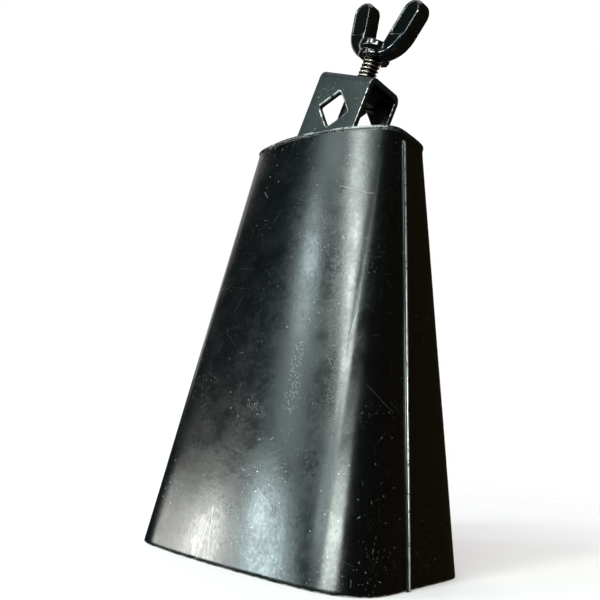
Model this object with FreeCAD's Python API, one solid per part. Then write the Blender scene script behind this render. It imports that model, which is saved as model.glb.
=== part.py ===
"""Drum-kit cowbell with a leaning clamp bracket and a wing screw.

Frame, in millimetres: the origin is the centre of the mouth, in the plane of the mouth rim, +Z runs up
to the closed top, +X is towards the side the bracket leans to, and -Y is the struck front face.
The rod clamp has its own frame: its base is the centre of the cap's top face, and it is tilted by LEAN
about the Y axis towards +X.  Heights "up the bracket" are measured along that tilted axis.
"""
import FreeCAD, Part
import math
import os
from FreeCAD import Placement, Rotation, Vector

# ---- bell body -------------------------------------------------------------------------------
HEIGHT = 200.0            # mouth plane to top of the cap
SHEET = 1.5               # thickness of the formed sheet
MOUTH = dict(half_width=64.4, half_depth=53.4, corner=23.5, face_bow=5.8, side_bow=0.05)
TOP = dict(half_width=43.05, half_depth=24.0, corner=7.5, face_bow=9.85, side_bow=2.25)
SEAM_Y_MOUTH = -12.3      # the two shells meet in front of the middle of each side, here at the mouth
SEAM_Y_TOP = -8.8         # and here at the top
SEAM_RADIUS = 1.4         # radius of the round side bead
SEAM_SUNK = 0.4           # how far the bead's centre line lies under the sheet's outer face
SEAM_TOP = 193.5          # the bead stops short of the cap

# ---- cap -------------------------------------------------------------------------------------
CAP_THICK = 1.6
CAP_LIP = 0.8             # overhang of the cap past the shells
CAP_ROUND = 0.5           # rounding of the cap's upper rim
CAP_WELD_DROP = 1.0       # height of the small weld fillet under the lip
CAP_WELD_OUT = 0.70       # its width right under the lip
CAP_WELD_TOE = 0.35       # its width at the lower edge

# ---- rod clamp bracket -----------------------------------------------------------------------
LEAN = 19.5               # degrees, tilt of the whole clamp towards +X
STRAP_WIDTH = 33.2
STRAP_OFFSET = -1.5       # the strap's middle is this far from the screw, square to the lean
STRAP_THICK = 3.0
STRAP_FOOT = 12.0         # the leaves are drawn this far below the cap, then trimmed on it
BRACKET_DEPTH = 27.1      # over the outside of both leaves
BRACKET_HEIGHT = 36.6     # base to the outside of the top, up the bracket
BEND_RADIUS = 4.6         # outside radius of the two bends
HOLE_HEIGHT = 16.9        # centre of the square rod holes, up the bracket
HOLE_SIDE = 13.5          # side of the square hole, which stands on its corner
HOLE_CORNER = 1.0         # corner radius of the square hole
FOOT_WELD = 2.6           # leg length of the weld fillets at the feet
FOOT_WELD_SHORT = 1.5     # the fillets stop this far from the strap's edges
FOOT_WELD_BULGE = 0.62    # middle of the fillet's face, as a share of its leg

# ---- wing screw ------------------------------------------------------------------------------
SCREW_RADIUS = 4.75       # 9.5 mm screw
SCREW_CHAMFER = 0.9
RUNNING_GAP = 0.06        # radial clearance of the screw in the nut
STRAP_HOLE_GAP = 0.30     # radial clearance of the screw in the strap
NUT_SIDE = 15.0
NUT_HEIGHT = 6.4
NUT_CORNER_CUT = 1.8
EXPOSED_THREAD = 12.7     # thread in sight between the bracket's top and the wing head
PAD_RADIUS = 3.5
PAD_HEIGHT = 3.0
PAD_ROUND = 0.5
PAD_FACE = 25.6           # the pad's pressing face, up the bracket
NOSE_RADIUS = 2.0         # turned-down end of the screw that carries the pad
NOSE_LENGTH = 2.1
PAD_GAP = 0.1             # clearance between the pad and the screw's nose
CAST_IN = 8.0             # length of the screw held in the wing head

# ---- wing head, heights measured from the bracket's top along the screw -----------------------
WING_TURN = -9.0          # degrees the wings are turned about the screw from the lean plane
PADDLE_ROOT = (11.3, 15.3)
PADDLE_TIP = (17.4, 36.7)
PADDLE_HALF_WIDTH = 6.5
WING_THICK = 9.6
WING_ROUND = 3.4          # rounding of the wings' edges
BELLY_HEIGHT = 12.9       # underside of the wings between the paddles
BELLY_ROUND = 19.0
VALLEY_HEIGHT = 19.9      # upper side of the wings between the paddles
VALLEY_ROUND = 3.0
COLLAR_RADIUS = 8.3
COLLAR_HEIGHT = 2.2
COLLAR_CHAMFER = 0.8
NECK_STEP = 0.6           # height of the slope between the collar and the neck
NECK_RADIUS = 7.6
RING_RADIUS = 9.8
RING_BOTTOM = 17.3
RING_TOP = 20.1
HUB_TOP = 20.7
DISH_RADIUS = 12.0        # shallow dish in the hub's top, between the wings
DISH_DEPTH = 1.5


def clamp_frame(shape):
    """Move a shape drawn in the clamp's own frame to its place on the cap."""
    tilt = Placement(Vector(0, 0, HEIGHT), Rotation(Vector(0, 1, 0), LEAN))
    shape.Placement = tilt.multiply(shape.Placement)
    return shape


def bow_radius(half_chord, bow):
    """Radius of the arc that rises by bow over half its chord."""
    return (half_chord ** 2 + bow ** 2) / (2 * bow)


def oval(z, half_width, half_depth, corner, face_bow, side_bow, grow=0.0):
    """Closed outline of tangent arcs: bowed faces (two arcs each), bowed sides and round corners.

    grow moves every arc outwards by the same distance, keeping all the centres.
    """
    face_r = bow_radius(half_width, face_bow)
    side_r = bow_radius(half_depth, side_bow)
    face_c = face_r - half_depth
    side_c = side_r - half_width
    # The corner's centre lies on a circle about each of the two centres (0, face_c) and (-side_c, 0).
    reach_f = face_r - corner
    reach_s = side_r - corner
    span = math.hypot(side_c, face_c)
    along = (reach_f ** 2 - reach_s ** 2 + span ** 2) / (2 * span)
    off = math.sqrt(reach_f ** 2 - along ** 2)
    dx, dy = -side_c / span, -face_c / span
    corner_x = along * dx - off * dy
    corner_y = face_c + along * dy + off * dx
    face_angle = math.atan2(corner_y - face_c, corner_x)
    side_angle = math.atan2(corner_y, corner_x + side_c)
    # One quarter, given as arcs of (centre, radius, start angle, end angle) for the front right.
    face_r, side_r, corner = face_r + grow, side_r + grow, corner + grow
    quarter = [((0.0, face_c), face_r, -math.pi / 2, face_angle),
               ((corner_x, corner_y), corner, face_angle, side_angle)]
    side = ((-side_c, 0.0), side_r, side_angle, -side_angle)
    arcs = []

    def add(centre, radius, start, end, flip_x, flip_y):
        points = []
        for angle in (start, (start + end) / 2, end):
            x = centre[0] + radius * math.cos(angle)
            y = centre[1] + radius * math.sin(angle)
            points.append(Vector(-x if flip_x else x, -y if flip_y else y, z))
        if flip_x != flip_y:
            points.reverse()
        arcs.append(Part.Arc(*points).toShape())

    add(*quarter[0], False, False)
    add(*quarter[1], False, False)
    add(*side, False, False)
    add(*quarter[1], False, True)
    add(*quarter[0], False, True)
    add(*quarter[0], True, True)
    add(*quarter[1], True, True)
    add(*side, True, False)
    add(*quarter[1], True, False)
    add(*quarter[0], True, False)
    return Part.Wire(Part.__sortEdges__(arcs))


def body_form(grow):
    """Solid of the bell's form between the mouth and the top, with every outline grown by grow."""
    return Part.makeLoft([oval(0, grow=grow, **MOUTH), oval(HEIGHT, grow=grow, **TOP)], True, True)


def shell_wall():
    """The tapered sheet wall, open at the mouth and ending under the cap."""
    wall = body_form(0).cut(body_form(-SHEET))
    above_cap = Part.makeBox(200, 200, 10, Vector(-100, -100, HEIGHT - CAP_THICK))
    return wall.cut(above_cap)


def seam_y(z):
    """Depth of the seam at height z."""
    return SEAM_Y_MOUTH + (SEAM_Y_TOP - SEAM_Y_MOUTH) * z / HEIGHT


def half_space(front):
    """Block that holds everything in front of, or behind, the seam plane."""
    low, high = -50, 350
    far = -200 if front else 200
    corners = [Vector(-200, far, low), Vector(-200, seam_y(low), low), Vector(-200, seam_y(high), high),
               Vector(-200, far, high)]
    return Part.Face(Part.makePolygon(corners + corners[:1])).extrude(Vector(400, 0, 0))


def front_shell():
    return shell_wall().common(half_space(True))


def back_shell():
    return shell_wall().common(half_space(False))


def side_x(outline, y):
    """Half-width of an outline at depth y, on its bowed side."""
    radius = bow_radius(outline["half_depth"], outline["side_bow"])
    return outline["half_width"] - radius + math.sqrt(radius ** 2 - y ** 2)


def side_seam(side):
    """Round weld bead along one side, ending in a rounded tip below the cap."""
    low_x = side_x(MOUTH, SEAM_Y_MOUTH)
    high_x = low_x + (side_x(TOP, SEAM_Y_TOP) - low_x) * SEAM_TOP / HEIGHT
    low = Vector(side * (low_x - SEAM_SUNK), SEAM_Y_MOUTH, 0)
    high = Vector(side * (high_x - SEAM_SUNK), seam_y(SEAM_TOP), SEAM_TOP)
    run = (high - low).normalize()
    start = low - run * 3
    bead = Part.makeCylinder(SEAM_RADIUS, (high - start).Length, start, run)
    bead = bead.fuse(Part.makeSphere(SEAM_RADIUS, high))
    below_mouth = Part.makeBox(300, 300, 10, Vector(-150, -150, -10))
    return bead.cut(body_form(0)).cut(below_mouth).removeSplitter()


def top_cap():
    plate = Part.Face(oval(HEIGHT - CAP_THICK, grow=CAP_LIP, **TOP)).extrude(Vector(0, 0, CAP_THICK))
    rim = [edge for edge in plate.Edges if abs(edge.CenterOfMass.z - HEIGHT) < 0.01]
    return plate.makeFillet(CAP_ROUND, rim)


def cap_weld():
    """Thin weld fillet in the corner under the cap's lip."""
    high = HEIGHT - CAP_THICK
    low = high - CAP_WELD_DROP
    taper = CAP_WELD_DROP / HEIGHT * (MOUTH["half_width"] - TOP["half_width"])
    ring = Part.makeLoft([oval(low, grow=taper + CAP_WELD_TOE, **TOP), oval(high, grow=CAP_WELD_OUT, **TOP)],
                         True, True)
    return ring.cut(body_form(0))


def strap_profile(depth, height, radius):
    """Face in the YZ plane: an upright outline with two round upper corners, open downwards."""
    half, foot, top = depth / 2, -STRAP_FOOT, height
    inset = radius * (1 - math.sqrt(0.5))
    edges = [
        Part.LineSegment(Vector(0, -half, foot), Vector(0, -half, top - radius)).toShape(),
        Part.Arc(Vector(0, -half, top - radius), Vector(0, -half + inset, top - inset),
                 Vector(0, -half + radius, top)).toShape(),
        Part.LineSegment(Vector(0, -half + radius, top), Vector(0, half - radius, top)).toShape(),
        Part.Arc(Vector(0, half - radius, top), Vector(0, half - inset, top - inset),
                 Vector(0, half, top - radius)).toShape(),
        Part.LineSegment(Vector(0, half, top - radius), Vector(0, half, foot)).toShape(),
        Part.LineSegment(Vector(0, half, foot), Vector(0, -half, foot)).toShape(),
    ]
    return Part.Face(Part.Wire(edges))


def rod_hole():
    """Square prism on its corner, through both leaves, with rounded corners."""
    side = HOLE_SIDE
    hole = Part.makeBox(side, 80, side, Vector(-side / 2, -40, -side / 2))
    corners = [edge for edge in hole.Edges if edge.Length > 70]
    hole = hole.makeFillet(HOLE_CORNER, corners)
    hole.Placement = Placement(Vector(STRAP_OFFSET, 0, HOLE_HEIGHT), Rotation(Vector(0, 1, 0), 45))
    return hole


def under_cap():
    """Block below the cap's top face, which trims what stands on it."""
    return Part.makeBox(200, 200, 60, Vector(-100, -100, HEIGHT - 60))


def mount_bracket():
    outer = strap_profile(BRACKET_DEPTH, BRACKET_HEIGHT, BEND_RADIUS)
    inner = strap_profile(BRACKET_DEPTH - 2 * STRAP_THICK, BRACKET_HEIGHT - STRAP_THICK,
                          BEND_RADIUS - STRAP_THICK)
    inner.translate(Vector(-1, 0, 0))
    strap = outer.extrude(Vector(STRAP_WIDTH, 0, 0)).cut(inner.extrude(Vector(STRAP_WIDTH + 2, 0, 0)))
    strap.translate(Vector(STRAP_OFFSET - STRAP_WIDTH / 2, 0, 0))
    screw_hole = Part.makeCylinder(SCREW_RADIUS + STRAP_HOLE_GAP, 20, Vector(0, 0, BRACKET_HEIGHT - 10))
    strap = strap.cut(rod_hole()).cut(screw_hole)
    return clamp_frame(strap).cut(under_cap())


def bracket_weld(side):
    """Fillet weld along the foot of one leaf, its outer side; side is -1 for the front leaf."""
    foot_y = side * BRACKET_DEPTH / 2
    toe_y = foot_y + side * FOOT_WELD
    stretch = 1 / math.cos(math.radians(LEAN))
    start = (STRAP_OFFSET - STRAP_WIDTH / 2 + FOOT_WELD_SHORT) * stretch
    length = (STRAP_WIDTH - 2 * FOOT_WELD_SHORT) * stretch
    bulge_out = FOOT_WELD * FOOT_WELD_BULGE
    corner = Vector(start, foot_y, HEIGHT)
    bulge = Vector(start, foot_y + side * bulge_out, HEIGHT + bulge_out)
    toe = Vector(start, toe_y, HEIGHT)
    heel = Vector(start, foot_y, HEIGHT + FOOT_WELD)
    edges = [Part.LineSegment(corner, toe).toShape(), Part.Arc(toe, bulge, heel).toShape(),
             Part.LineSegment(heel, corner).toShape()]
    return Part.Face(Part.Wire(edges)).extrude(Vector(length, 0, 0))


def clamp_nut():
    """Square weld nut under the bracket's top."""
    top = BRACKET_HEIGHT - STRAP_THICK
    half = NUT_SIDE / 2
    nut = Part.makeBox(NUT_SIDE, NUT_SIDE, NUT_HEIGHT, Vector(-half, -half, top - NUT_HEIGHT))
    upright = [edge for edge in nut.Edges if abs(edge.Length - NUT_HEIGHT) < 0.01]
    nut = nut.makeChamfer(NUT_CORNER_CUT, upright)
    bore = Part.makeCylinder(SCREW_RADIUS + RUNNING_GAP, NUT_HEIGHT + 2, Vector(0, 0, top - NUT_HEIGHT - 1))
    return clamp_frame(nut.cut(bore))


def screw_stud():
    """The screw: plain envelope of the thread, with a thin nose that carries the pad."""
    shoulder = PAD_FACE + PAD_HEIGHT
    top = BRACKET_HEIGHT + EXPOSED_THREAD + CAST_IN
    stud = Part.makeCylinder(SCREW_RADIUS, top - shoulder, Vector(0, 0, shoulder))
    rims = [edge for edge in stud.Edges if len(edge.Vertexes) == 1]
    stud = stud.makeChamfer(SCREW_CHAMFER, rims)
    nose = Part.makeCylinder(NOSE_RADIUS, NOSE_LENGTH + 1, Vector(0, 0, shoulder - NOSE_LENGTH))
    return clamp_frame(stud.fuse(nose).removeSplitter())


def pressure_pad():
    """Small cup on the screw's nose: it presses on the rod without turning."""
    pad = Part.makeCylinder(PAD_RADIUS, PAD_HEIGHT - PAD_GAP, Vector(0, 0, PAD_FACE))
    face_rim = [edge for edge in pad.Edges if len(edge.Vertexes) == 1 and edge.CenterOfMass.z < PAD_FACE + 1]
    pad = pad.makeFillet(PAD_ROUND, face_rim)
    floor = PAD_FACE + PAD_HEIGHT - NOSE_LENGTH - PAD_GAP
    return clamp_frame(pad.cut(Part.makeCylinder(NOSE_RADIUS + PAD_GAP, 5, Vector(0, 0, floor))))


def rounded_corner(corner, back, ahead, radius):
    """Arc of the given radius between two lines that leave a corner in the directions back and ahead."""
    back = Vector(back).normalize()
    ahead = Vector(ahead).normalize()
    middle = (back + ahead).normalize()
    half_angle = math.acos(back.dot(middle))
    reach = radius / math.tan(half_angle)
    near = corner + middle * (radius / math.sin(half_angle) - radius)
    return [corner + back * reach, near, corner + ahead * reach]


def wing_outline():
    """Closed outline of the wings in the XZ plane: two round-ended paddles over one round belly."""
    root = Vector(PADDLE_ROOT[0], 0, PADDLE_ROOT[1])
    tip = Vector(PADDLE_TIP[0], 0, PADDLE_TIP[1])
    along = (tip - root).normalize()
    outward = Vector(along.z, 0, -along.x)
    inward = Vector(-1, 0, 0)
    outer = root + outward * PADDLE_HALF_WIDTH
    inner = root - outward * PADDLE_HALF_WIDTH
    belly_corner = outer + along * ((BELLY_HEIGHT - outer.z) / along.z)
    valley_corner = inner + along * ((VALLEY_HEIGHT - inner.z) / along.z)
    belly = rounded_corner(belly_corner, inward, along, BELLY_ROUND)
    valley = rounded_corner(valley_corner, along, inward, VALLEY_ROUND)
    end = [tip + outward * PADDLE_HALF_WIDTH, tip + along * PADDLE_HALF_WIDTH, tip - outward * PADDLE_HALF_WIDTH]
    edges = []
    for side in (1, -1):
        def here(points):
            return [Vector(side * point.x, 0, point.z) for point in points]

        edges += [
            Part.LineSegment(*here([Vector(0, 0, BELLY_HEIGHT), belly[0]])).toShape(),
            Part.Arc(*here(belly)).toShape(),
            Part.LineSegment(*here([belly[2], end[0]])).toShape(),
            Part.Arc(*here(end)).toShape(),
            Part.LineSegment(*here([end[2], valley[0]])).toShape(),
            Part.Arc(*here(valley)).toShape(),
            Part.LineSegment(*here([valley[2], Vector(0, 0, VALLEY_HEIGHT)])).toShape(),
        ]
    return Part.Wire(Part.__sortEdges__(edges))


def wing_head():
    """Cast head: two round paddles over a stepped round hub, on top of the exposed thread."""
    wings = Part.Face(wing_outline()).extrude(Vector(0, WING_THICK, 0))
    wings.translate(Vector(0, -WING_THICK / 2, 0))
    flat_y = WING_THICK / 2
    rims = [edge for edge in wings.Edges if abs(abs(edge.CenterOfMass.y) - flat_y) < 0.01]
    wings = wings.makeFillet(WING_ROUND, rims)
    low = EXPOSED_THREAD
    profile = [(0, low), (COLLAR_RADIUS - COLLAR_CHAMFER, low), (COLLAR_RADIUS, low + COLLAR_CHAMFER),
               (COLLAR_RADIUS, low + COLLAR_HEIGHT), (NECK_RADIUS, low + COLLAR_HEIGHT + NECK_STEP),
               (RING_RADIUS, RING_BOTTOM), (RING_RADIUS, RING_TOP), (NECK_RADIUS, HUB_TOP), (0, HUB_TOP)]
    points = [Vector(r, 0, h) for r, h in profile]
    hub = Part.Face(Part.makePolygon(points + points[:1])).revolve(Vector(0, 0, 0), Vector(0, 0, 1), 360)
    dish = Part.makeSphere(DISH_RADIUS, Vector(0, 0, HUB_TOP + DISH_RADIUS - DISH_DEPTH))
    head = wings.fuse(hub.cut(dish)).removeSplitter()
    head.Placement = Placement(Vector(0, 0, BRACKET_HEIGHT), Rotation(Vector(0, 0, 1), WING_TURN))
    return clamp_frame(head).cut(screw_stud())


PARTS = {
    "front_shell": front_shell,
    "back_shell": back_shell,
    "side_seam_left": lambda: side_seam(-1),
    "side_seam_right": lambda: side_seam(1),
    "top_cap": top_cap,
    "cap_weld": cap_weld,
    "mount_bracket": mount_bracket,
    "bracket_weld_front": lambda: bracket_weld(-1),
    "bracket_weld_back": lambda: bracket_weld(1),
    "clamp_nut": clamp_nut,
    "screw_stud": screw_stud,
    "pressure_pad": pressure_pad,
    "wing_head": wing_head,
}

os.makedirs("parts", exist_ok=True)
for name, build in PARTS.items():
    shape = build()
    shape.exportStep(f"parts/{name}.step")
    box = shape.BoundBox
    print(f"{name}: solids {len(shape.Solids)}, valid {shape.isValid()}, volume {shape.Volume:.0f}, "
          f"x {box.XMin:.1f}..{box.XMax:.1f}, y {box.YMin:.1f}..{box.YMax:.1f}, z {box.ZMin:.1f}..{box.ZMax:.1f}")
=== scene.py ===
"""Looks of a black steel drum-kit cowbell with a leaning clamp bracket and a wing screw.

All lengths are in metres, written as millimetres times MM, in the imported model's own frame: the
mouth rim lies in z = 0, +Z is up and -Y is the struck front face.  The clamp (bracket, nut and wing
screw) is drawn upright over its own origin and then tilted onto the cap by CLAMP.
"""

import math

import bmesh
import bpy
import numpy as np
from mathutils import Matrix, Vector, noise


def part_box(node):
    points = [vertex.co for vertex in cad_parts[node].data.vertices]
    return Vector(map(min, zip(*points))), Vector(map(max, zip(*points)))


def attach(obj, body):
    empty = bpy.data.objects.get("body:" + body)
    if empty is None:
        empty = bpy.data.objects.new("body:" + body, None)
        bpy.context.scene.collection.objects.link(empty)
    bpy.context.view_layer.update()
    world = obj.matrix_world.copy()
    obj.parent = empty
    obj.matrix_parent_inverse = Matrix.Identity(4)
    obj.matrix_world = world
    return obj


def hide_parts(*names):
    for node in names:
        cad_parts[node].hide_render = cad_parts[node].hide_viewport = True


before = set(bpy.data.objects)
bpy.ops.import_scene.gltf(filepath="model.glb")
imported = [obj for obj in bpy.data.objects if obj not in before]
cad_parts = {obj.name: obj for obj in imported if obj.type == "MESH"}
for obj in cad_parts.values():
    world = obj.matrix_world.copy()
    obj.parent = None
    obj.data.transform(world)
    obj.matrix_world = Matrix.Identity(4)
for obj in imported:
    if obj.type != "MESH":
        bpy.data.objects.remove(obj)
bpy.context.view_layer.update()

MM = 0.001
TAU = 2 * math.pi
STUDIO_RADIUS = 4.0
AMBIENT = 0.03
FLOOR_REACH = 1.6
FLOOR_FADE = (0.25, 0.9)
FLOOR_GAP = 0.05 * MM

# ---- sizes, from the frame where a node's box gives them ----
cap_low, cap_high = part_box("top_cap")
HEIGHT = cap_high.z
WALL_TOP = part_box("front_shell")[1].z
SHEET = 1.5 * MM
SEAM_Y_MOUTH = -12.3 * MM
SEAM_Y_TOP = -8.8 * MM
SEAM_RIDGE = 0.50 * MM
SEAM_FOOT = 0.34 * MM
SEAM_RIDGE_GAP = 1.62 * MM
SEAM_END = 1.6 * MM
SEAM_HALF_WIDTH = 1.30 * MM
SEAM_BURIED = 0.4 * MM
MOUTH = dict(half_width=64.4 * MM, half_depth=53.4 * MM, corner=23.5 * MM, face_bow=5.8 * MM,
             side_bow=0.05 * MM, blend=4.5 * MM)
TOP = dict(half_width=43.05 * MM, half_depth=24.0 * MM, corner=7.5 * MM, face_bow=9.85 * MM,
           side_bow=2.25 * MM, blend=2.2 * MM)

LEAN = math.radians(19.5)
CLAMP = Matrix.Translation((0, 0, HEIGHT)) @ Matrix.Rotation(LEAN, 4, "Y")
STRAP_WIDTH = 33.2 * MM
STRAP_OFFSET = -1.5 * MM
STRAP_THICK = 3.0 * MM
STRAP_FOOT = -12 * MM
BRACKET_DEPTH = 27.1 * MM
BRACKET_HEIGHT = 36.6 * MM
BEND_RADIUS = 4.6 * MM
DRILL_RADIUS = 5.05 * MM
HOLE_HEIGHT = 16.9 * MM
HOLE_SIDE = 13.5 * MM
HOLE_CORNER = 1.0 * MM
HOLE_ROLL = 0.45 * MM
EDGE_ROUND = 0.42 * MM

SCREW_RADIUS = 4.75 * MM
THREAD_DEPTH = 0.95 * MM
THREAD_GAP = 0.06 * MM
ROOT_SHARE = 0.45
PITCH = 2.0 * MM
NUT_SIDE = 15.0 * MM
NUT_HEIGHT = 6.4 * MM
NUT_CHAMFER = 1.8 * MM
PAD_FACE = 25.6 * MM
PAD_RADIUS = 3.5 * MM
PAD_HEIGHT = 2.9 * MM
NOSE_RADIUS = 2.0 * MM
NOSE_LENGTH = 2.1 * MM
SHOULDER = 28.6 * MM
EXPOSED_THREAD = 12.7 * MM

WING_TURN = math.radians(-9)
PADDLE_ROOT = (11.3 * MM, 15.3 * MM)
PADDLE_TIP = (17.4 * MM, 36.7 * MM)
PADDLE_HALF_WIDTH = 6.5 * MM
WING_THICK = 9.6 * MM
WING_ROUND = 3.3 * MM
WING_SCALE = 0.999
CAST_LEVELS = 8
SOFTEN_STEPS = 13
BELLY_HEIGHT = 12.9 * MM
BELLY_ROUND = 17.0 * MM
VALLEY_HEIGHT = 19.9 * MM
VALLEY_ROUND = 3.0 * MM
THUMB_DEPTH = 0.85 * MM
THUMB_LOW = 24.9 * MM
THUMB_CORNER = 2.2 * MM
THUMB_RIM = 2.1 * MM


# ---- mesh helpers ----
def show(name, data):
    """New object for this data, in the scene."""
    item = bpy.data.objects.new(name, data)
    bpy.context.scene.collection.objects.link(item)
    return item


def mesh_from(name, points, faces, smooth=True):
    """New piece of these points and faces, with its faces turned outwards."""
    mesh = bpy.data.meshes.new(name)
    mesh.from_pydata([tuple(p) for p in points], [], faces)
    mesh.polygons.foreach_set("use_smooth", [smooth] * len(mesh.polygons))
    work = bmesh.new()
    work.from_mesh(mesh)
    bmesh.ops.recalc_face_normals(work, faces=work.faces)
    work.to_mesh(mesh)
    work.free()
    return show(name, mesh)


def grid_faces(rows, cols, close_rows=False, close_cols=False):
    """Quads over a rows by cols grid of points, numbered row by row."""
    faces = []
    for r in range(rows if close_rows else rows - 1):
        for c in range(cols if close_cols else cols - 1):
            up, right = (r + 1) % rows, (c + 1) % cols
            faces.append((r * cols + c, r * cols + right, up * cols + right, up * cols + c))
    return faces


def tube(name, rings, smooth=True):
    """Solid through closed rings of equal point counts; its first two faces are the flat ends."""
    points = [point for ring in rings for point in ring]
    count = len(rings[0])
    ends = [tuple(range(count - 1, -1, -1)), tuple(range(len(points) - count, len(points)))]
    return mesh_from(name, points, ends + grid_faces(len(rings), count, close_cols=True), smooth)


def circle(radius, height, count):
    """Points round the Z axis."""
    return [(radius * math.cos(TAU * k / count), radius * math.sin(TAU * k / count), height)
            for k in range(count)]


def arc(centre, radius, start, end, steps):
    """Points (a, b) of an arc; angles in degrees."""
    points = []
    for k in range(steps + 1):
        angle = math.radians(start + (end - start) * k / steps)
        points.append((centre[0] + radius * math.cos(angle), centre[1] + radius * math.sin(angle)))
    return points


def apply_modifiers(piece):
    """Bake a piece's modifiers into its mesh."""
    evaluated = piece.evaluated_get(bpy.context.evaluated_depsgraph_get())
    baked = bpy.data.meshes.new_from_object(evaluated)
    old = piece.data
    piece.modifiers.clear()
    piece.data = baked
    bpy.data.meshes.remove(old)


def combine(target, tool, operation="DIFFERENCE"):
    """Boolean of two closed pieces; the tool is used up."""
    modifier = target.modifiers.new("combine", "BOOLEAN")
    modifier.operation = operation
    modifier.solver = "EXACT"
    modifier.object = tool
    apply_modifiers(target)
    bpy.data.objects.remove(tool)


def bevel(piece, width, segments, angle, edge_material=-1):
    modifier = piece.modifiers.new("bevel", "BEVEL")
    modifier.width = width
    modifier.segments = segments
    modifier.limit_method = "ANGLE"
    modifier.angle_limit = math.radians(angle)
    modifier.material = edge_material
    apply_modifiers(piece)


def shade_by_angle(piece, degrees):
    """Smooth faces with sharp edges where faces meet at more than the angle."""
    mesh = piece.data
    mesh.polygons.foreach_set("use_smooth", [True] * len(mesh.polygons))
    work = bmesh.new()
    work.from_mesh(mesh)
    limit = math.radians(degrees)
    for edge in work.edges:
        edge.smooth = len(edge.link_faces) == 2 and edge.calc_face_angle(0) < limit
    work.to_mesh(mesh)
    work.free()
    return piece


def place(piece, matrix):
    piece.data.transform(matrix)
    return piece


def lathe(name, profile, around=64):
    """Solid of revolution about Z of a profile of (radius, height) that starts and ends on the axis."""
    points = [point for radius, height in profile[1:-1] for point in circle(radius, height, around)]
    low, high = len(points), len(points) + 1
    points += [(0, 0, profile[0][1]), (0, 0, profile[-1][1])]
    faces = grid_faces(len(profile) - 2, around, close_cols=True)
    for k in range(around):
        ahead = (k + 1) % around
        faces += [(low, ahead, k), (high, low - around + k, low - around + ahead)]
    return mesh_from(name, points, faces)


def rounded_profile(corners, radius, steps=5):
    """Round every inner corner of a polyline of (radius, height) points."""
    rounded = [corners[0]]
    for before, corner, after in zip(corners, corners[1:], corners[2:]):
        here = Vector(corner)
        back = Vector(before) - here
        ahead = Vector(after) - here
        reach = min(radius, back.length * 0.45, ahead.length * 0.45)
        start = here + back.normalized() * reach
        end = here + ahead.normalized() * reach
        for k in range(steps + 1):
            t = k / steps
            point = start * (1 - t) ** 2 + here * 2 * t * (1 - t) + end * t ** 2
            rounded.append((point.x, point.y))
    rounded.append(corners[-1])
    return rounded


def loft(name, sections):
    """Solid through outlines of (x, z) points, each at its own depth y."""
    return tube(name, [[(x, y, z) for x, z in outline] for y, outline in sections], smooth=False)


def prism(name, outline, low, high):
    """Solid between two planes y = low and y = high over one outline."""
    return loft(name, [(low, outline), (high, outline)])


# ---- the bell's outline ----
def bow_radius(half_chord, bow):
    return (half_chord ** 2 + bow ** 2) / (2 * bow)


class Oval:
    """One level of the bell: bowed faces, bowed sides and round corners, run smoothly into each other.

    Distance is counted along the outline from the middle of the front face, to the right.
    """

    SAMPLES = 4096

    def __init__(self, half_width, half_depth, corner, face_bow, side_bow, blend):
        face_r = bow_radius(half_width, face_bow)
        side_r = bow_radius(half_depth, side_bow)
        face_c = face_r - half_depth
        side_c = side_r - half_width
        span = math.hypot(side_c, face_c)
        along = ((face_r - corner) ** 2 - (side_r - corner) ** 2 + span ** 2) / (2 * span)
        off = math.sqrt((face_r - corner) ** 2 - along ** 2)
        corner_x = (off * face_c - along * side_c) / span
        corner_y = face_c - (along * face_c + off * side_c) / span
        face_angle = math.atan2(corner_y - face_c, corner_x)
        side_angle = math.atan2(corner_y, corner_x + side_c)
        self.face_length = face_r * (face_angle + math.pi / 2)
        self.corner_length = corner * (side_angle - face_angle)
        self.side_r = side_r
        self.side_reach = -side_r * math.sin(side_angle)
        self.quarter = self.face_length + self.corner_length - side_r * side_angle

        walk = self.quarter * np.arange(self.SAMPLES // 4) / (self.SAMPLES // 4)
        on_face = walk / face_r - math.pi / 2
        on_corner = face_angle + (walk - self.face_length) / corner
        on_side = (walk - self.quarter) / side_r
        past_face = walk > self.face_length
        past_corner = walk > self.face_length + self.corner_length
        x = np.where(past_face, corner_x + corner * np.cos(on_corner), face_r * np.cos(on_face))
        y = np.where(past_face, corner_y + corner * np.sin(on_corner),
                     face_c + face_r * np.sin(on_face))
        x = np.where(past_corner, side_r * np.cos(on_side) - side_c, x)
        y = np.where(past_corner, side_r * np.sin(on_side), y)
        quarter = x + 1j * y
        half = np.concatenate([quarter, [half_width], np.conj(quarter[:0:-1])])
        closed = np.concatenate([half, -half])
        waves = np.fft.fftfreq(self.SAMPLES, 4 * self.quarter / self.SAMPLES)
        soft = np.fft.fft(closed) * np.exp(-2 * (math.pi * waves * blend) ** 2)
        self.outline = np.fft.ifft(soft)
        heading = np.fft.ifft(soft * 2j * math.pi * waves)
        self.outward = -1j * heading / np.abs(heading)

    def at(self, distance, grow):
        """Point at a distance along the outline, moved out by grow."""
        place_on = distance / (4 * self.quarter) * self.SAMPLES
        first = math.floor(place_on)
        share = place_on - first
        here, ahead = first % self.SAMPLES, (first + 1) % self.SAMPLES
        point = (1 - share) * self.outline[here] + share * self.outline[ahead]
        point += grow * ((1 - share) * self.outward[here] + share * self.outward[ahead])
        return point.real, point.imag

    def face(self, t, grow):
        """Front face, t from -1 at the left corner to 1 at the right corner."""
        return self.at(t * self.face_length, grow)

    def corner(self, t, grow):
        """Front right corner, t from 0 at the face to 1 at the side."""
        return self.at(self.face_length + t * self.corner_length, grow)

    def side(self, y, grow):
        """Right side at depth y."""
        return self.at(self.quarter + self.side_r * math.asin(y / self.side_r), grow)


mouth_oval = Oval(**MOUTH)
top_oval = Oval(**TOP)


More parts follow.
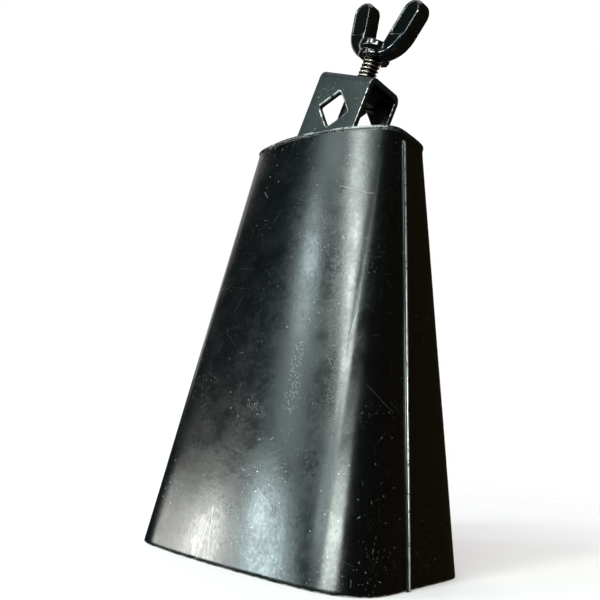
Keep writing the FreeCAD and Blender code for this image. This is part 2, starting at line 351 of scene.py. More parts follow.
def between(low, high, z):
    """Value at height z between one at the mouth and one at the top."""
    return (1 - z / HEIGHT) * low + z / HEIGHT * high


def side_reach(z):
    return between(mouth_oval.side_reach, top_oval.side_reach, z)


def seam_y(z):
    return between(SEAM_Y_MOUTH, SEAM_Y_TOP, z)


def wall_point(segment, t, z, grow):
    """Point of the bell's wall on the front right quarter, or on the whole front face."""
    ends = []
    for oval in (mouth_oval, top_oval):
        at = t / side_reach(z) * oval.side_reach if segment == "side" else t
        ends.append(getattr(oval, segment)(at, grow))
    return tuple(between(low, high, z) for low, high in zip(*ends))


FACE_STEPS = 110
CORNER_STEPS = 26
SIDE_STEPS = 22


def half_walk():
    """Stations round one half of the wall, from the left seam to the right seam."""
    stations = [("side", k / SIDE_STEPS, -1) for k in range(SIDE_STEPS + 1)]
    stations += [("corner", 1 - k / CORNER_STEPS, -1) for k in range(1, CORNER_STEPS)]
    stations += [("face", -1 + 2 * k / FACE_STEPS, 1) for k in range(FACE_STEPS + 1)]
    stations += [("corner", k / CORNER_STEPS, 1) for k in range(1, CORNER_STEPS)]
    stations += [("side", 1 - k / SIDE_STEPS, 1) for k in range(SIDE_STEPS + 1)]
    return stations


def shell_point(station, front, z, depth):
    """One wall point of a half shell; depth is counted inwards from the outer face."""
    segment, t, flip = station
    if segment == "side":
        start = seam_y(z) if front else -seam_y(z)
        t = start - t * (side_reach(z) + start)
    x, y = wall_point(segment, t, z, -depth)
    return flip * x, y if front else -y


def unevenness(x, y, z):
    """How far the sheet lies inside its true form: long soft waves left by forming and welding."""
    place_in = Vector((x, y * 1.3, z))
    broad = noise.noise(place_in * 16)
    middle = noise.noise(place_in * 42 + Vector((3, 1, 7)))
    return (0.11 + 0.11 * broad + 0.025 * middle) * MM


def shell_piece(name, front):
    """Half of the formed sheet, with a rounded mouth edge, as a closed mesh."""
    stations = half_walk()
    edge = 0.4 * MM
    rows_up = 130
    heights = [edge + (WALL_TOP - edge) * k / rows_up for k in range(rows_up + 1)]
    section = [(z, 0.0) for z in reversed(heights)]
    section += [(0.3 * edge, 0.3 * edge), (0.0, edge)]
    section += [(0.0, SHEET - edge), (0.3 * edge, SHEET - 0.3 * edge)]
    section += [(z, SHEET) for z in heights]
    points = []
    for z, depth in section:
        for station in stations:
            x, y = shell_point(station, front, z, 0)
            fade = min(1.0, abs(y - seam_y(z)) / (6 * MM)) * min(1.0, (WALL_TOP - z) / (5 * MM))
            x, y = shell_point(station, front, z, depth + fade * unevenness(x, y, z))
            points.append((x, y, z))
    rows, cols = len(section), len(stations)
    faces = grid_faces(rows, cols, close_rows=True)
    faces += [tuple(range(first, rows * cols, cols)) for first in (0, cols - 1)]
    return shade_by_angle(mesh_from(name, points, faces), 50)


# ---- pieces of the bell ----
def seam_section():
    """Cross-section of a side seam as (along the wall, out of it) points, and which are rubbed bright.

    The front ridge is bright on its crest only, the back one nearly all round.
    """
    steps = 12
    section = [(-SEAM_HALF_WIDTH, -SEAM_BURIED, False)]
    for centre, first, last in ((-SEAM_RIDGE_GAP / 2, 5, 6), (SEAM_RIDGE_GAP / 2, 1, 10)):
        ridge = arc((centre, SEAM_FOOT), SEAM_RIDGE, 180, 0, steps)
        section += [(along, out, first <= k <= last) for k, (along, out) in enumerate(ridge)]
        if centre < 0:
            section.append((0, 0.04 * MM, False))
    section.append((SEAM_HALF_WIDTH, -SEAM_BURIED, False))
    return section


def seam_piece(name, side):
    """Welded seam down one side: the two sheets' edges stand up as twin ridges with rubbed crests."""
    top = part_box(name)[1].z - 0.2 * MM
    rows, end_rows = 280, 24
    section = seam_section()
    rings = []
    for k in range(rows + 1):
        z = top * k / rows
        if k >= rows - end_rows:
            z = top - SEAM_END * (1 - math.sin((k - rows + end_rows) / end_rows * math.pi / 2))
        x, y = wall_point("side", seam_y(z), z, 0)
        end = math.sqrt(max(0.0, 1 - max(0.0, (z - top + SEAM_END) / SEAM_END) ** 2))
        drift = 0.10 * MM * noise.noise(Vector((z * 25, side * 5.0, 4)))
        ring = []
        for a, (along, out, _) in enumerate(section):
            lump = noise.noise(Vector((z * 220, side * 9.0, a * 0.15)))
            rise = out * (1 + 0.05 * lump) if out > 0 else out
            rise = rise * end - 0.05 * MM * (1 - end)
            ring.append((side * (x + rise), y + drift + along * (0.25 + 0.75 * end), z))
        rings.append(ring)
    piece = tube(name + "_ridges", rings)
    around = len(section)
    for index, face in enumerate(piece.data.polygons[2:]):
        face.material_index = int(section[index % around][2] and section[(index + 1) % around][2])
    return piece


def ring_points(grow):
    """Closed outline of the cap, as (x, y): the top oval grown by a distance."""
    face_steps, corner_steps, side_steps = 90, 18, 40
    quarter = [top_oval.face(k / face_steps, grow) for k in range(face_steps + 1)]
    quarter += [top_oval.corner(k / corner_steps, grow) for k in range(1, corner_steps + 1)]
    quarter += [top_oval.side(-top_oval.side_reach * (1 - k / side_steps), grow)
                for k in range(1, side_steps + 1)]
    outline = quarter + [(x, -y) for x, y in reversed(quarter[:-1])]
    outline += [(-x, -y) for x, y in quarter[1:]]
    return outline + [(-x, y) for x, y in reversed(quarter[1:-1])]


def cap_piece():
    """Closing plate with a softly rounded, slightly uneven rim."""
    lip = cap_high.x - TOP["half_width"]
    low, high = cap_low.z, cap_high.z
    # Each ring: how far outside the wall it runs, how much of the plate's size is left, and its height.
    levels = [(0, 0.2, low), (-6 * MM, 1, low), (lip - 0.5 * MM, 1, low),
              (lip - 0.15 * MM, 1, low + 0.06 * MM), (lip, 1, low + 0.3 * MM), (lip, 1, low + 0.8 * MM),
              (lip - 0.05 * MM, 1, high - 0.5 * MM), (lip - 0.18 * MM, 1, high - 0.22 * MM),
              (lip - 0.45 * MM, 1, high - 0.04 * MM), (lip - 0.9 * MM, 1, high), (-2 * MM, 1, high),
              (-5 * MM, 1, high), (0, 0.6, high), (0, 0.2, high)]
    rings = []
    for grow, size, z in levels:
        at_rim = size == 1 and grow > -1 * MM
        ring = []
        for x, y in ring_points(grow):
            x, y = x * size, y * size
            wave = noise.noise(Vector((x * 90, y * 90, z * 200)))
            rough = noise.noise(Vector((x * 420, y * 420, z * 420)))
            pull = (0.10 + 0.10 * wave + 0.05 * rough) * MM / math.hypot(x, y) if at_rim else 0
            sink = (0.05 + 0.05 * wave) * MM if z == high and not at_rim else 0
            ring.append((x * (1 - pull), y * (1 - pull), z - sink))
        rings.append(ring)
    return shade_by_angle(tube("cap_plate", rings), 40)


def cap_weld_piece():
    """Small uneven weld bead in the corner between the cap's lip and the wall."""
    around = ring_points(0)
    steps = 8
    points = []
    for k, (x, y) in enumerate(around):
        along = (Vector(around[(k + 1) % len(around)]) - Vector(around[k - 1])).normalized()
        out = Vector((along.y, -along.x))
        if out.x * x + out.y * y < 0:
            out = -out
        size = (0.52 + 0.10 * noise.noise(Vector((x * 500, y * 500, 1)))) * MM
        for a in range(steps):
            angle = TAU * a / steps
            reach = 0.05 * MM + size * 0.85 * math.cos(angle)
            rise = 0.42 * MM * (math.sin(angle) - 1)
            points.append((x + out.x * reach, y + out.y * reach, WALL_TOP + rise))
    faces = grid_faces(len(around), steps, close_rows=True, close_cols=True)
    return mesh_from("cap_weld_bead", points, faces)


# ---- pieces of the clamp ----
def strap_side(inset):
    """Line of the strap in the YZ plane, from the front foot over the top to the back foot."""
    half = BRACKET_DEPTH / 2 - inset
    top = BRACKET_HEIGHT - inset
    radius = BEND_RADIUS - inset
    path = [(-half, STRAP_FOOT)]
    path += arc((-half + radius, top - radius), radius, 180, 90, 14)
    path += arc((half - radius, top - radius), radius, 90, 0, 14)
    return path + [(half, STRAP_FOOT)]


def diamond(side, corner, height):
    """Square on its corner with rounded corners, in the XZ plane."""
    reach = (side / 2 - corner) * math.sqrt(2)
    points = []
    for heading in (90, 180, 270, 360):
        turn = math.radians(heading)
        centre = (STRAP_OFFSET + reach * math.cos(turn), height + reach * math.sin(turn))
        points += arc(centre, corner, heading - 45, heading + 45, 5)
    return points


def drill(radius):
    """Round cutter along the screw's axis, through the bracket's top and the nut."""
    low, high = BRACKET_HEIGHT - 17 * MM, BRACKET_HEIGHT + 14 * MM
    return lathe("drill", [(0, low), (radius, low), (radius, high), (0, high)])


def bracket_piece():
    """Bent strap with softened cut edges, which are rubbed bright on its outer side; its inner side
    takes a darker paint as painted shade.
    """
    outer = strap_side(0)
    inner = strap_side(STRAP_THICK)
    left, right = STRAP_OFFSET - STRAP_WIDTH / 2, STRAP_OFFSET + STRAP_WIDTH / 2
    rings = [[(left, *out), (right, *out), (right, *into), (left, *into)]
             for out, into in zip(outer, inner)]
    piece = tube("bracket_strap", rings, smooth=False)
    for material in (BRACKET, EDGE, INSIDE_SHADE_PAINT):
        piece.data.materials.append(material)
    # The strap's inner faces take the dark inside paint: painted shade between the leaves.
    for k in range(len(rings) - 1):
        piece.data.polygons[4 * k + 4].material_index = 2
    true = diamond(HOLE_SIDE, HOLE_CORNER, HOLE_HEIGHT)
    wide = diamond(HOLE_SIDE + 2 * HOLE_ROLL, HOLE_CORNER + HOLE_ROLL, HOLE_HEIGHT)
    face = BRACKET_DEPTH / 2
    hole = loft("hole", [(-2 * face, wide), (-face, wide), (HOLE_ROLL - face, true),
                         (face - HOLE_ROLL, true), (face, wide), (2 * face, wide)])
    combine(piece, hole)
    combine(piece, drill(DRILL_RADIUS))
    place(piece, CLAMP)
    low, reach = 130 * MM, 90 * MM
    ground = [(-reach, low), (reach, low), (reach, HEIGHT), (-reach, HEIGHT)]
    combine(piece, prism("ground", ground, -60 * MM, 60 * MM))
    bevel(piece, EDGE_ROUND, 4, 40, edge_material=1)
    upright = CLAMP.inverted()
    # Rounded edges on the inner side take the dark inside paint, a painted shade between the leaves,
    # all but the back leaf's right one.
    for face in piece.data.polygons:
        x, y, z = upright @ face.center
        inner = abs(y) < BRACKET_DEPTH / 2 - STRAP_THICK / 2
        back_right = x > 0 and y > 0 and z < BRACKET_HEIGHT - STRAP_THICK - BEND_RADIUS
        if face.material_index == 1 and inner and not back_right:
            face.material_index = 2
    return shade_by_angle(piece, 35)


def foot_weld_piece(name, side):
    """Weld fillet made of overlapping ripples along one foot of the bracket."""
    low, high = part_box(name)
    leg = high.z - low.z
    rows, steps = 120, 14
    foot_y = side * BRACKET_DEPTH / 2
    rings = []
    for k in range(rows + 1):
        share = k / rows
        x = low.x + (high.x - low.x) * share
        end = min(1.0, min(share, 1 - share) * 14)
        ripple = 0.10 * math.sin(share * 58 + 0.7 * math.sin(share * 9))
        lump = 0.10 * noise.noise(Vector((x * 200, side, 0)))
        size = leg * (0.86 + ripple * 0.6 + lump) * (0.25 + 0.75 * math.sqrt(end))
        ring = []
        for y, z in arc((0.35, 0.35), 1.0, -100, 190, steps):
            ring.append((x, foot_y + side * size * 0.48 * y, HEIGHT + max(size * 0.48 * z, 0.02 * MM)))
        rings.append(ring)
    return tube(name + "_bead", rings)


def nut_piece():
    """Square weld nut with chamfered corners and softened edges."""
    half, cut = NUT_SIDE / 2, NUT_CHAMFER
    top = BRACKET_HEIGHT - STRAP_THICK
    outline = []
    for sx, sy in ((1, -1), (1, 1), (-1, 1), (-1, -1)):
        first = (sx * half, sy * (half - cut))
        second = (sx * (half - cut), sy * half)
        outline += [second, first] if sx * sy < 0 else [first, second]
    rings = [[(x, y, z) for x, y in outline] for z in (top - NUT_HEIGHT, top)]
    piece = tube("weld_nut", rings, smooth=False)
    combine(piece, drill(SCREW_RADIUS + THREAD_GAP))
    bevel(piece, 0.3 * MM, 2, 30)
    return place(shade_by_angle(piece, 35), CLAMP)


def thread_radius(share):
    """Radius over one pitch, share from 0 to 1: round crest, straight flanks, round root."""
    ramp = (0.5 + 0.5 * math.cos(TAU * share)) ** 1.5
    shaped = ramp * ramp * (3 - 2 * ramp)
    return SCREW_RADIUS - THREAD_DEPTH * (1 - shaped)


def stud_piece():
    """Right-hand thread drawn as a height field round the screw, with a thin nose for the pad."""
    around, per_pitch = 96, 20
    low = SHOULDER
    high = BRACKET_HEIGHT + EXPOSED_THREAD + 6 * MM
    rows = round((high - low) / PITCH * per_pitch)
    tip = low - NOSE_LENGTH
    rings = [circle(NOSE_RADIUS - 0.4 * MM, tip, around), circle(NOSE_RADIUS, tip + 0.4 * MM, around),
             circle(NOSE_RADIUS, low, around)]
    for k in range(rows + 1):
        z = low + (high - low) * k / rows
        taper = min(1.0, (z - low) / (1.2 * MM))
        ring = []
        for a, (x, y, _) in enumerate(circle(1.0, z, around)):
            radius = thread_radius((z / PITCH - a / around) % 1.0)
            radius = radius * taper + (SCREW_RADIUS - THREAD_DEPTH) * (1 - taper)
            ring.append((radius * x, radius * y, z))
        rings.append(ring)
    piece = tube("screw_thread", rings)
    # Faces deep in the thread take the near-black root steel, so the roots are darker.
    root = SCREW_RADIUS - ROOT_SHARE * THREAD_DEPTH
    for face in piece.data.polygons:
        face.material_index = int(math.hypot(face.center.x, face.center.y) < root)
    return place(shade_by_angle(piece, 60), CLAMP)


def pad_piece():
    """Small cup at the screw's tip, with rounded rims and a socket for the screw's nose."""
    low, high = PAD_FACE, PAD_FACE + PAD_HEIGHT
    inner = NOSE_RADIUS + 0.1 * MM
    floor = low + 0.8 * MM
    corners = [(0, low), (PAD_RADIUS, low), (PAD_RADIUS, high),
               (inner, high), (inner, floor), (0, floor)]
    piece = lathe("tip_pad", rounded_profile(corners, 0.45 * MM), 48)
    return place(shade_by_angle(piece, 45), CLAMP)


def rounded_corner(corner, back, ahead, radius, steps):
    """Arc between two lines leaving a corner, as points from the first line to the second."""
    back, ahead = back.normalized(), ahead.normalized()
    middle = (back + ahead).normalized()
    half_angle = math.acos(back.dot(middle))
    centre = corner + middle * (radius / math.sin(half_angle))
    start = corner + back * (radius / math.tan(half_angle)) - centre
    end = corner + ahead * (radius / math.tan(half_angle)) - centre
    sweep = start.angle_signed(end)
    return [centre + Matrix.Rotation(-sweep * k / steps, 2) @ start for k in range(steps + 1)]


def paddle_lines(half_width):
    """A paddle's direction and tip centre, and a point on its outer and on its inner side."""
    root, tip = Vector(PADDLE_ROOT), Vector(PADDLE_TIP)
    along = (tip - root).normalized()
    outward = Vector((along.y, -along.x))
    return along, outward, tip, root + outward * half_width, root - outward * half_width


def tip_arc(tip, outward, radius):
    """Half round at a paddle's tip, from its outer side to its inner side."""
    start = math.degrees(math.atan2(outward.y, outward.x))
    return [Vector(point) for point in arc(tip, radius, start, start + 180, 32)]


def wing_outline():
    """Outline of the wings: two round-ended paddles over a round belly, counterclockwise in (u, h)."""
    along, outward, tip, outer, inner = paddle_lines(PADDLE_HALF_WIDTH)
    inward = Vector((-1, 0))
    belly_corner = outer + along * ((BELLY_HEIGHT - outer.y) / along.y)
    valley_corner = inner + along * ((VALLEY_HEIGHT - inner.y) / along.y)
    right = rounded_corner(belly_corner, inward, along, BELLY_ROUND, 20)
    right += tip_arc(tip, outward, PADDLE_HALF_WIDTH)
    right += rounded_corner(valley_corner, along, inward, VALLEY_ROUND, 10)
    points = [(p.x, p.y) for p in right]
    return points + [(-x, y) for x, y in reversed(points)]


def thumb_outline(side, inset):
    """Outline of a thumb face in (u, h), inside the paddle's own outline and level at the bottom."""
    half_width = PADDLE_HALF_WIDTH - inset
    along, outward, tip, outer, inner = paddle_lines(half_width)
    low = THUMB_LOW + inset - THUMB_RIM
    outer_corner = outer + along * ((low - outer.y) / along.y)
    inner_corner = inner + along * ((low - inner.y) / along.y)
    points = rounded_corner(outer_corner, Vector((-1, 0)), along, THUMB_CORNER, 8)
    points += tip_arc(tip, outward, half_width)
    points += rounded_corner(inner_corner, along, Vector((1, 0)), THUMB_CORNER, 8)
    outline = [(side * p.x, p.y) for p in points]
    return outline if side > 0 else outline[::-1]


def wing_piece():
    """Cast head: rounded wings with sunk thumb faces, on a stepped hub, softened as one casting."""
    wings = prism("wing_casting", wing_outline(), -WING_THICK / 2, WING_THICK / 2)
    bevel(wings, WING_ROUND, 8, 60)
    low = EXPOSED_THREAD
    hub = [(0, low), (8.3 * MM, low), (8.5 * MM, low + 1.9 * MM), (8.1 * MM, low + 2.5 * MM),
           (9.8 * MM, 17.0 * MM), (9.8 * MM, 20.1 * MM), (7.6 * MM, 20.7 * MM),
           (3.5 * MM, 19.7 * MM), (0, 19.4 * MM)]
    combine(wings, lathe("hub", rounded_profile(hub, 0.6 * MM, 4), 72), "UNION")
    # Each thumb face is cut by a block that widens outwards, from its floor to as far off the surface.
    for side in (1, -1):
        for face in (1, -1):
            sections = []
            for rise in (-face * THUMB_DEPTH, face * THUMB_DEPTH):
                outline = thumb_outline(side, THUMB_RIM - THUMB_DEPTH - rise)
                sections.append((face * (WING_THICK / 2 + rise), outline))
            combine(wings, loft("thumb", sections))
    remesh = wings.modifiers.new("cast", "REMESH")
    remesh.mode = "SHARP"
    remesh.octree_depth = CAST_LEVELS
    remesh.scale = 0.95
    remesh.use_remove_disconnected = True
    soften = wings.modifiers.new("soften", "SMOOTH")
    soften.factor = 0.5
    soften.iterations = SOFTEN_STEPS
    apply_modifiers(wings)
    wings.data.polygons.foreach_set("use_smooth", [True] * len(wings.data.polygons))
    turned = Matrix.Rotation(WING_TURN, 4, "Z") @ Matrix.Scale(WING_SCALE, 4)
    place(wings, CLAMP @ Matrix.Translation((0, 0, BRACKET_HEIGHT)) @ turned)
    return wings


# ---- materials ----
class Nodes:
    """Short way to write the node tree of a material or of the world."""

    def __init__(self, name, world=False):
        self.owner = (bpy.data.worlds if world else bpy.data.materials).new(name)
        self.owner.use_nodes = True
        self.tree = self.owner.node_tree
        self.tree.nodes.clear()
        self.output = self.add("ShaderNodeOutputWorld" if world else "ShaderNodeOutputMaterial")
        self.place = self.add("ShaderNodeTexCoord").outputs["Generated" if world else "Object"]
        self.x, self.y, self.z = self.split(self.place)
        # The sheet laid flat: distance round the bell, roughly, and height.
        self.around = self.plus(self.x, self.y)
        self.sheet = self.add("ShaderNodeCombineXYZ", {"X": self.around, "Y": self.z}).outputs[0]

    def put(self, socket, value):
        """Link a socket to another node's output, or set it to a constant."""
        if isinstance(value, bpy.types.NodeSocket):
            self.tree.links.new(value, socket)
        elif value is not None:
            socket.default_value = value

    def add(self, kind, inputs=None, **settings):
        node = self.tree.nodes.new(kind)
        for key, value in settings.items():
            setattr(node, key, value)
        for key, value in (inputs or {}).items():
            self.put(node.inputs[key], value)
        return node

    def split(self, vector):
        return self.add("ShaderNodeSeparateXYZ", {"Vector": vector}).outputs

    def noise(self, scale, detail=2.0, rough=0.5):
        """Noise from 0 to 1; scale is one number, or one for each axis."""
        at = self.place
        if isinstance(scale, tuple):
            at, scale = self.vector("MULTIPLY", at, scale), 1.0
        return self.add("ShaderNodeTexNoise", {"Vector": at, "Scale": scale, "Detail": detail,
                                               "Roughness": rough}).outputs["Fac"]

    def shake(self, at, scale, detail, reach):
        """A place moved about by noise, so that straight marks run unevenly."""
        node = self.add("ShaderNodeTexNoise", {"Vector": at, "Scale": scale, "Detail": detail})
        off = self.vector("SUBTRACT", node.outputs["Color"], (0.5, 0.5, 0.5))
        return self.vector("ADD", at, self.vector("MULTIPLY", off, reach))

    def cells(self, at, scale):
        return self.add("ShaderNodeTexVoronoi", {"Vector": at, "Scale": scale},
                        voronoi_dimensions="2D").outputs

    def dots(self, scale, low, high):
        """Round dots on the sheet, one to a cell; low and high bound their soft edge, in cells."""
        return self.span(self.cells(self.sheet, scale)["Distance"], high, low)

    def math(self, operation, a, b=0.0, clamp=False):
        return self.add("ShaderNodeMath", {0: a, 1: b}, operation=operation, use_clamp=clamp).outputs[0]

    def plus(self, a, b):
        return self.math("ADD", a, b)

    def times(self, a, b):
        return self.math("MULTIPLY", a, b)

    def vector(self, operation, a, b=None, output="Vector"):
        return self.add("ShaderNodeVectorMath", {0: a, 1: b}, operation=operation).outputs[output]

    def span(self, value, low, high, to_low=0.0, to_high=1.0, kind="SMOOTHSTEP"):
        """Ramp from low to high, mapped to a new range."""
        return self.add("ShaderNodeMapRange", {"Value": value, "From Min": low, "From Max": high,
                                               "To Min": to_low, "To Max": to_high},
                        interpolation_type=kind).outputs[0]

    def mix(self, factor, a, b):
        return self.add("ShaderNodeMix", {0: factor, 6: a, 7: b}, data_type="RGBA").outputs[2]

    def bump(self, height, distance, strength, normal=None):
        return self.add("ShaderNodeBump", {"Height": height, "Distance": distance, "Strength": strength,
                                           "Normal": normal}).outputs[0]

    def finish(self, colour, rough, normal=None, **inputs):
        """Close the tree with a Principled shader."""
        shader = self.add("ShaderNodeBsdfPrincipled", {"Base Color": colour, "Roughness": rough,
                                                       "Normal": normal})
        for key, value in inputs.items():
            self.put(shader.inputs[key.replace("_", " ")], value)
        return self.surface(shader)

    def surface(self, shader):
        self.tree.links.new(shader.outputs[0], self.output.inputs["Surface"])
        return self.owner


def nicks(n, cell, length, width, share, seed):
    """Mask of straight scratches, at most one to a cell, each with its own place, direction and length.

    Sizes are in millimetres.
    """
    at = n.shake(n.sheet, 90.0, 0.0, (0.0016, 0.0016, 0.0))
    at = n.vector("ADD", at, (seed * 0.37, seed * 0.21, 0.0))
    cells = n.cells(at, 1 / (cell * MM))
    x, y, _ = n.split(n.vector("SUBTRACT", at, cells["Position"]))
    heading, size, chance = n.split(cells["Color"])
    angle = n.times(heading, TAU)
    cosine, sine = n.math("COSINE", angle), n.math("SINE", angle)
    along = n.plus(n.times(x, cosine), n.times(y, sine))
    aside = n.math("SUBTRACT", n.times(y, cosine), n.times(x, sine))
    reach = n.times(n.plus(size, 0.15), length * MM / 2)
    inside = n.math("LESS_THAN", n.math("ABSOLUTE", along), reach)
    line = n.span(n.math("ABSOLUTE", aside), width * MM / 2, width * MM / 4)
    kept = n.math("GREATER_THAN", chance, 1 - share)
    return n.times(n.times(inside, line), kept)


def either(n, *masks):
    """The larger of several masks at each point."""
    total = masks[0]
    for mask in masks[1:]:
        total = n.math("MAXIMUM", total, mask)
    return total


def near(n, start, end, width):
    """Mask round a line between two (x, z) points on the front face, 1 on it and 0 a width away.

    Sizes are in millimetres.
    """
    (x, z), width = (value * MM for value in start), width * MM
    run = (end[0] * MM - x, 0.0, end[1] * MM - z)
    flat = n.vector("MULTIPLY", n.shake(n.place, 160.0, 1.0, (0.0012, 0.0, 0.0012)), (1.0, 0.0, 1.0))
    away = n.vector("SUBTRACT", flat, (x, 0.0, z))
    along = n.vector("DOT_PRODUCT", away, run, "Value")
    share = n.math("DIVIDE", along, run[0] ** 2 + run[2] ** 2, clamp=True)
    aside = n.vector("SUBTRACT", away, n.vector("MULTIPLY", run, share))
    front = n.math("LESS_THAN", n.y, 0.0)
    return n.times(n.span(n.vector("LENGTH", aside, output="Value"), width, 0.3 * width), front)


def dabs(n, where):
    """Tiny upright dabs, within a mask, where the paint's gloss is knocked off."""
    dab = n.noise((1900, 1900, 1300), rough=0.6)
    return n.span(n.plus(dab, n.times(where, 0.18)), 0.68, 0.82)


def shell_paint():
    """Satin black paint over sheet steel: mottled sheen, fine peel, scuffs, scratches and worn rims."""
    n = Nodes("satin black paint")
    mottle = n.noise(75, detail=5, rough=0.62)
    peel = n.noise((700, 700, 560), detail=3, rough=0.6)
    cluster = n.span(n.noise(24), 0.46, 0.62)
    hairs = n.times(nicks(n, 9, 9, 0.13, 0.55, 1.0), 0.10)
    short = n.times(nicks(n, 6, 1.8, 0.16, 0.14, 2.0), cluster)
    long = n.times(nicks(n, 34, 24, 0.13, 0.35, 3.0), 0.22)
    speck = n.dots(260, 0.025, 0.055)
    speck = n.times(speck, n.span(n.noise(48, detail=1), 0.56, 0.66))
    dot = n.times(n.dots(90, 0.012, 0.022), n.span(n.noise(30, detail=1), 0.54, 0.60))

    # Wear where sticks and stands have met the struck face.
    rubbed = near(n, (18.5, 92), (19.5, 67), 4.5)
    rubbed = n.times(rubbed, nicks(n, 1.2, 2.6, 0.15, 0.50, 6.0))
    deep = either(n, near(n, (-10, 22), (-13.3, 1), 0.30), near(n, (-10, 22), (-7, 4), 0.22))
    thin = either(n, near(n, (22.6, 169), (38.5, 164.5), 0.22), near(n, (42, 110), (40, 96), 0.25),
                  near(n, (-24, 172), (-20.5, 168), 0.25), near(n, (12, 33), (20, 27), 0.25))
    knocked = either(n, near(n, (28, 132), (40, 60), 5),
                     near(n, (-1, 67), (6, 63), 4.5),
                     near(n, (17, 32), (22, 26), 4),
                     near(n, (-6, 26), (3, 21), 4.5),
                     n.times(cluster, 0.12))
    scuff = dabs(n, knocked)

    marks = either(n, hairs, n.times(short, 0.7), long, n.times(speck, 0.5), dot,
                   n.times(rubbed, 0.8), n.times(deep, 0.8), n.times(thin, 0.3))
    marks = n.times(marks, n.span(n.y, -8 * MM, -26 * MM, 0.4, 1.0))
    edge_noise = n.noise(260, detail=3)
    rim = n.plus(n.span(n.z, 1.5 * MM, 0.2 * MM), n.times(edge_noise, 0.8))
    rim = n.span(rim, 1.15, 1.5)
    colour = n.mix(mottle, (0.0006, 0.0010, 0.0012, 1), (0.0020, 0.0028, 0.0032, 1))
    colour = n.mix(marks, colour, (0.32, 0.34, 0.345, 1))
    colour = n.mix(rim, colour, (0.30, 0.30, 0.28, 1))
    rough = n.span(n.plus(n.times(mottle, 0.6), n.times(peel, 0.4)),
                   0.35, 0.65, 0.17, 0.27)
    rough = n.plus(rough, n.times(scuff, 0.16))
    normal = n.bump(peel, 0.048 * MM, 0.5)
    normal = n.bump(n.noise(150), 0.04 * MM, 0.5, normal)
    normal = n.bump(n.plus(marks, n.times(scuff, 0.5)), 0.04 * MM, -0.5, normal)
    return n.finish(colour, rough, normal, Specular_IOR_Level=0.56)


def bracket_paint(name, bare):
    """Satin black on the bracket, with dust and rub marks; bare is how much metal shows through."""
    n = Nodes(name)
    mottle = n.noise(160, detail=4, rough=0.6)
    long = n.times(nicks(n, 7, 11, 0.11, 0.6, 4.0), 0.30)
    short = nicks(n, 3.5, 1.0, 0.16, 0.25, 5.0)
    speck = n.dots(420, 0.05, 0.10)
    speck = n.times(speck, n.span(n.noise(200), 0.48, 0.62))
    marks = either(n, long, n.times(short, 0.6), n.times(speck, 0.6))
    rub = n.span(n.plus(n.noise(420, detail=3), bare), 0.98, 1.12)
    colour = n.mix(mottle, (0.0050, 0.0095, 0.0105, 1), (0.0110, 0.0170, 0.0185, 1))
    colour = n.mix(marks, colour, (0.26, 0.28, 0.28, 1))
    colour = n.mix(rub, colour, (0.50, 0.51, 0.49, 1))
    rough = n.span(mottle, 0.3, 0.7, 0.42, 0.52)
    rough = n.math("SUBTRACT", rough, n.times(rub, 0.20))
    normal = n.bump(n.noise(1200), 0.010 * MM, 0.5)
    normal = n.bump(marks, 0.02 * MM, -0.5, normal)
    return n.finish(colour, rough, normal, Specular_IOR_Level=0.26,
                    Metallic=n.times(rub, 0.6))


def shaded_inside_paint():
    """Gloss black inside the bracket, with no rub marks, painted darker than the outer bracket paint as
    shade between the leaves.
    """
    n = Nodes("bracket inside painted shade")
    mottle = n.noise(160, detail=4, rough=0.6)
    speck = n.times(n.dots(300, 0.04, 0.08), n.span(n.noise(150), 0.55, 0.65))
    # Darker than the outer paint: painted shade between the leaves.
    colour = n.mix(mottle, (0.0010, 0.0009, 0.0007, 1), (0.0030, 0.0026, 0.0020, 1))
    colour = n.mix(n.times(speck, 0.4), colour, (0.10, 0.09, 0.07, 1))
    rough = n.span(mottle, 0.3, 0.7, 0.16, 0.24)
    normal = n.bump(mottle, 0.02 * MM, 0.4)
    return n.finish(colour, rough, normal, Specular_IOR_Level=0.4)


def rim_paint():
    """Paint on the cap and its weld, rubbed bright on the rim, most of all where sticks hit it."""
    n = Nodes("worn rim paint")
    mottle = n.noise(90, detail=4)
    struck = n.times(n.span(n.x, 4 * MM, 22 * MM), n.span(n.x, 43 * MM, 36 * MM))
    struck = n.times(struck, n.span(n.y, 0.0, -12 * MM))
    edge = n.span(n.z, HEIGHT - 1.1 * MM, HEIGHT - 0.5 * MM)
    flakes = n.times(n.plus(n.noise(150), n.noise(900, detail=4)), 0.5)
    flakes = n.plus(flakes, n.times(struck, 0.09))
    worn = n.times(n.span(flakes, 0.53, 0.60), n.plus(n.times(edge, 0.7), 0.3))
    worn = n.times(worn, n.span(n.x, 43 * MM, 37 * MM, 0.15, 1.0))
    colour = n.mix(mottle, (0.004, 0.005, 0.0055, 1), (0.009, 0.011, 0.012, 1))
    colour = n.mix(worn, colour, (0.36, 0.37, 0.36, 1))
    rough = n.span(mottle, 0.3, 0.7, 0.20, 0.32)
    normal = n.bump(n.noise(800, detail=3), 0.05 * MM, 0.5)
    return n.finish(colour, rough, normal, Specular_IOR_Level=0.6,
                    Coat_Weight=0.2, Coat_Roughness=0.15)


def bead_paint(name, low, high):
    """Gloss black on the seams; low and high bound the noise above which bare metal shows."""
    n = Nodes(name)
    mottle = n.noise(260, detail=3)
    worn = n.span(n.noise((900, 900, 260), detail=3), low, high)
    colour = n.mix(mottle, (0.003, 0.004, 0.0045, 1), (0.007, 0.009, 0.0095, 1))
    colour = n.mix(worn, colour, (0.80, 0.81, 0.79, 1))
    rough = n.span(mottle, 0.3, 0.7, 0.14, 0.22)
    rough = n.plus(rough, n.times(worn, 0.12))
    normal = n.bump(mottle, 0.02 * MM, 0.5)
    return n.finish(colour, rough, normal, Metallic=n.times(worn, 0.8))


